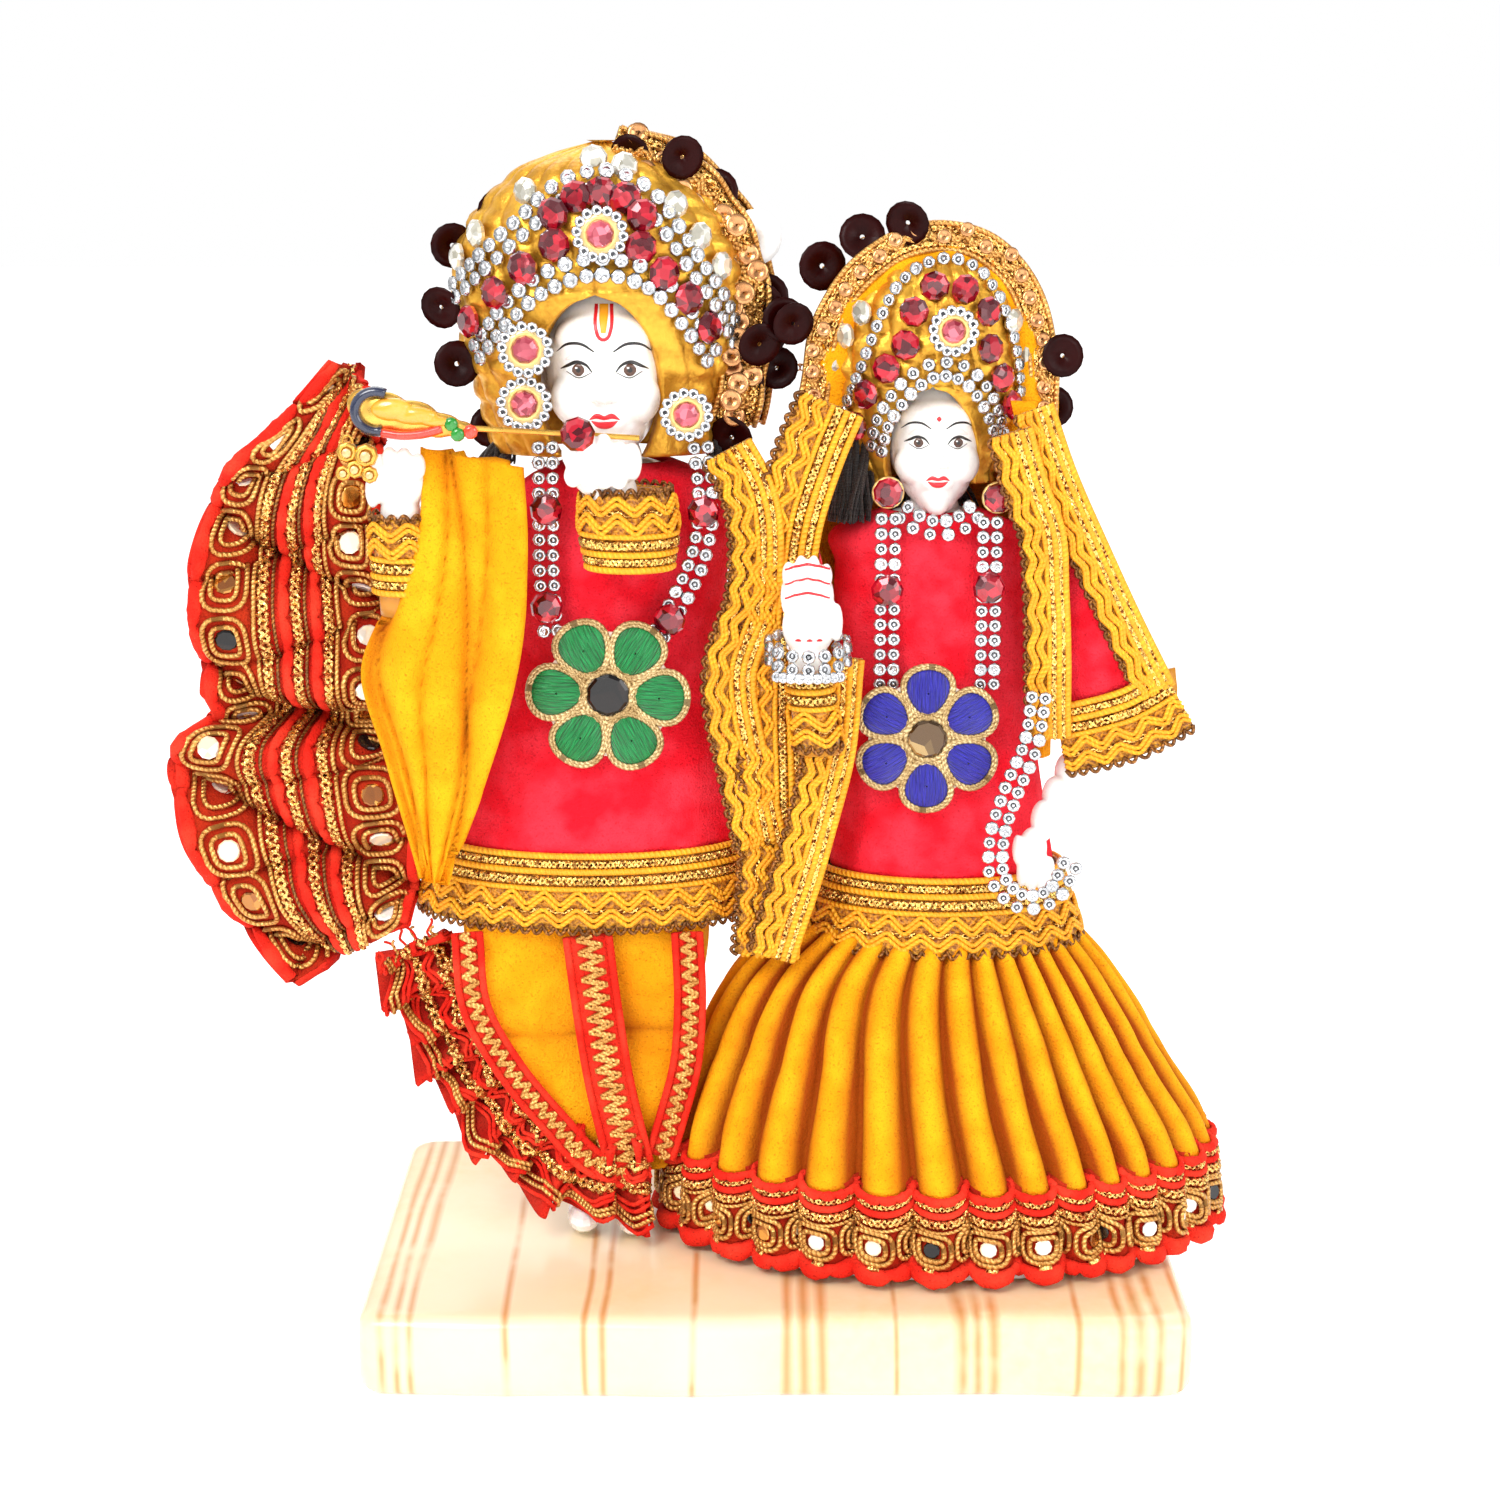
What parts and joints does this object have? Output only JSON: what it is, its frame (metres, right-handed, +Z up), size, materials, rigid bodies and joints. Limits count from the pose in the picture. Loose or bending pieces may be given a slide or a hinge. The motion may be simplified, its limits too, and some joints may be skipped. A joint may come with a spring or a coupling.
{
  "type": "dressed shrine figures",
  "caption": "Cast shrine figures in velvet, lace and beads on a veined plinth, with a flute that slides and necklaces that hang free.",
  "frame": {"origin": "middle of the plinth's flat underside, which rests on the table", "axes": "+X to the viewer's right, +Y to the back, +Z up"},
  "size_m": [0.1802, 0.08, 0.1994],
  "materials": {
    "plinth_stone": "glossy cream marble-dust casting with painted orange-brown veins",
    "cast_white": "glossy white paint over a fine casting",
    "gold_paint": "gold paint over the moulded crown",
    "gold_lace": "gold tinsel lace",
    "red_velvet": "short-pile red velvet",
    "yellow_velvet": "short-pile golden-yellow velvet",
    "yellow_lace": "yellow cord lace with gold tinsel rows and brown picots",
    "mirror_border": "red and gold braid with gold-cord ovals round mirrors",
    "black_hair": "glossy black fibre",
    "silver_beads": "silvered half-round beads",
    "red_stones": "foil-backed faceted red stones",
    "green_thread": "green satin stitch with gold cord",
    "blue_thread": "blue satin stitch with gold cord",
    "flute_metal": "polished gold with enamel"
  },
  "bodies": {
    "statue": {"plinth": "plinth_stone", "player_casting": "cast_white", "player_head": "cast_white", "player_lip_hand": "cast_white", "player_far_hand": "cast_white", "lady_casting": "cast_white", "lady_head": "cast_white", "lady_raised_hand": "cast_white", "lady_hanging_hand": "cast_white", "player_crown": "gold_paint", "lady_crown": "gold_paint", "player_crown_lace": "gold_lace", "lady_hair": "black_hair", "player_tunic": "red_velvet", "lady_blouse": "red_velvet", "lady_sleeve": "red_velvet", "player_shawl": "yellow_velvet", "player_dhoti_left": "yellow_velvet", "player_dhoti_right": "yellow_velvet", "lady_skirt": "yellow_velvet", "lady_veil": "yellow_velvet", "player_shawl_border": "mirror_border", "player_dhoti_pleat": "mirror_border", "player_dhoti_ruffle": "mirror_border", "lady_skirt_border": "mirror_border", "player_tunic_hem_lace": "yellow_lace", "player_side_lace": "yellow_lace", "player_lip_cuff": "yellow_lace", "player_far_cuff": "yellow_lace", "lady_raised_sleeve": "yellow_lace", "lady_blouse_hem_lace": "yellow_lace", "lady_veil_left_drop": "yellow_lace", "lady_veil_end": "yellow_lace", "lady_veil_right_drop": "yellow_lace", "lady_sleeve_lace": "yellow_lace", "player_crown_outer_beads": "silver_beads", "player_crown_inner_beads": "silver_beads", "player_crown_rosette": "silver_beads", "player_cheek_rosette_upper": "silver_beads", "player_cheek_rosette_lower": "silver_beads", "player_cheek_rosette_right": "silver_beads", "lady_crown_outer_beads": "silver_beads", "lady_crown_inner_beads": "silver_beads", "lady_crown_rosette": "silver_beads", "lady_choker": "silver_beads", "lady_bracelet": "silver_beads", "player_crown_stones": "red_stones", "lady_crown_stones": "red_stones", "lady_left_earring": "red_stones", "lady_right_earring": "red_stones"},
    "flute": {"flute_rod": "flute_metal", "flute_bird": "flute_metal"},
    "bells": {"flute_bells": "flute_metal"},
    "player_necklace": {"player_necklace_left": "silver_beads", "player_necklace_right": "silver_beads", "player_pendant": "green_thread"},
    "lady_necklace": {"lady_necklace_left": "silver_beads", "lady_necklace_right": "silver_beads", "lady_pendant": "blue_thread"},
    "hand_beads": {"lady_hand_beads": "silver_beads"}
  },
  "joints": [
    {"name": "flute_slide", "type": "slide", "parent": "statue", "child": "flute", "axis": [-0.9983, 0, 0.0579], "range_m": [0, 0.045]},
    {"name": "bells_swing", "type": "hinge", "parent": "flute", "child": "bells", "pos_m": [-0.0668, -0.017, 0.1536], "axis": [1, 0, 0], "range_deg": [-35, 35]},
    {"name": "player_necklace_lift", "type": "hinge", "parent": "statue", "child": "player_necklace", "pos_m": [-0.0245, -0.0075, 0.151], "axis": [1, 0, 0], "range_deg": [-30, 0]},
    {"name": "lady_necklace_lift", "type": "hinge", "parent": "statue", "child": "lady_necklace", "pos_m": [0.0265, -0.007, 0.1405], "axis": [1, 0, 0], "range_deg": [-30, 0]},
    {"name": "hand_beads_lift", "type": "hinge", "parent": "statue", "child": "hand_beads", "pos_m": [0.0434, -0.01, 0.112], "axis": [1, 0, 0], "range_deg": [-30, 0]}
  ]
}
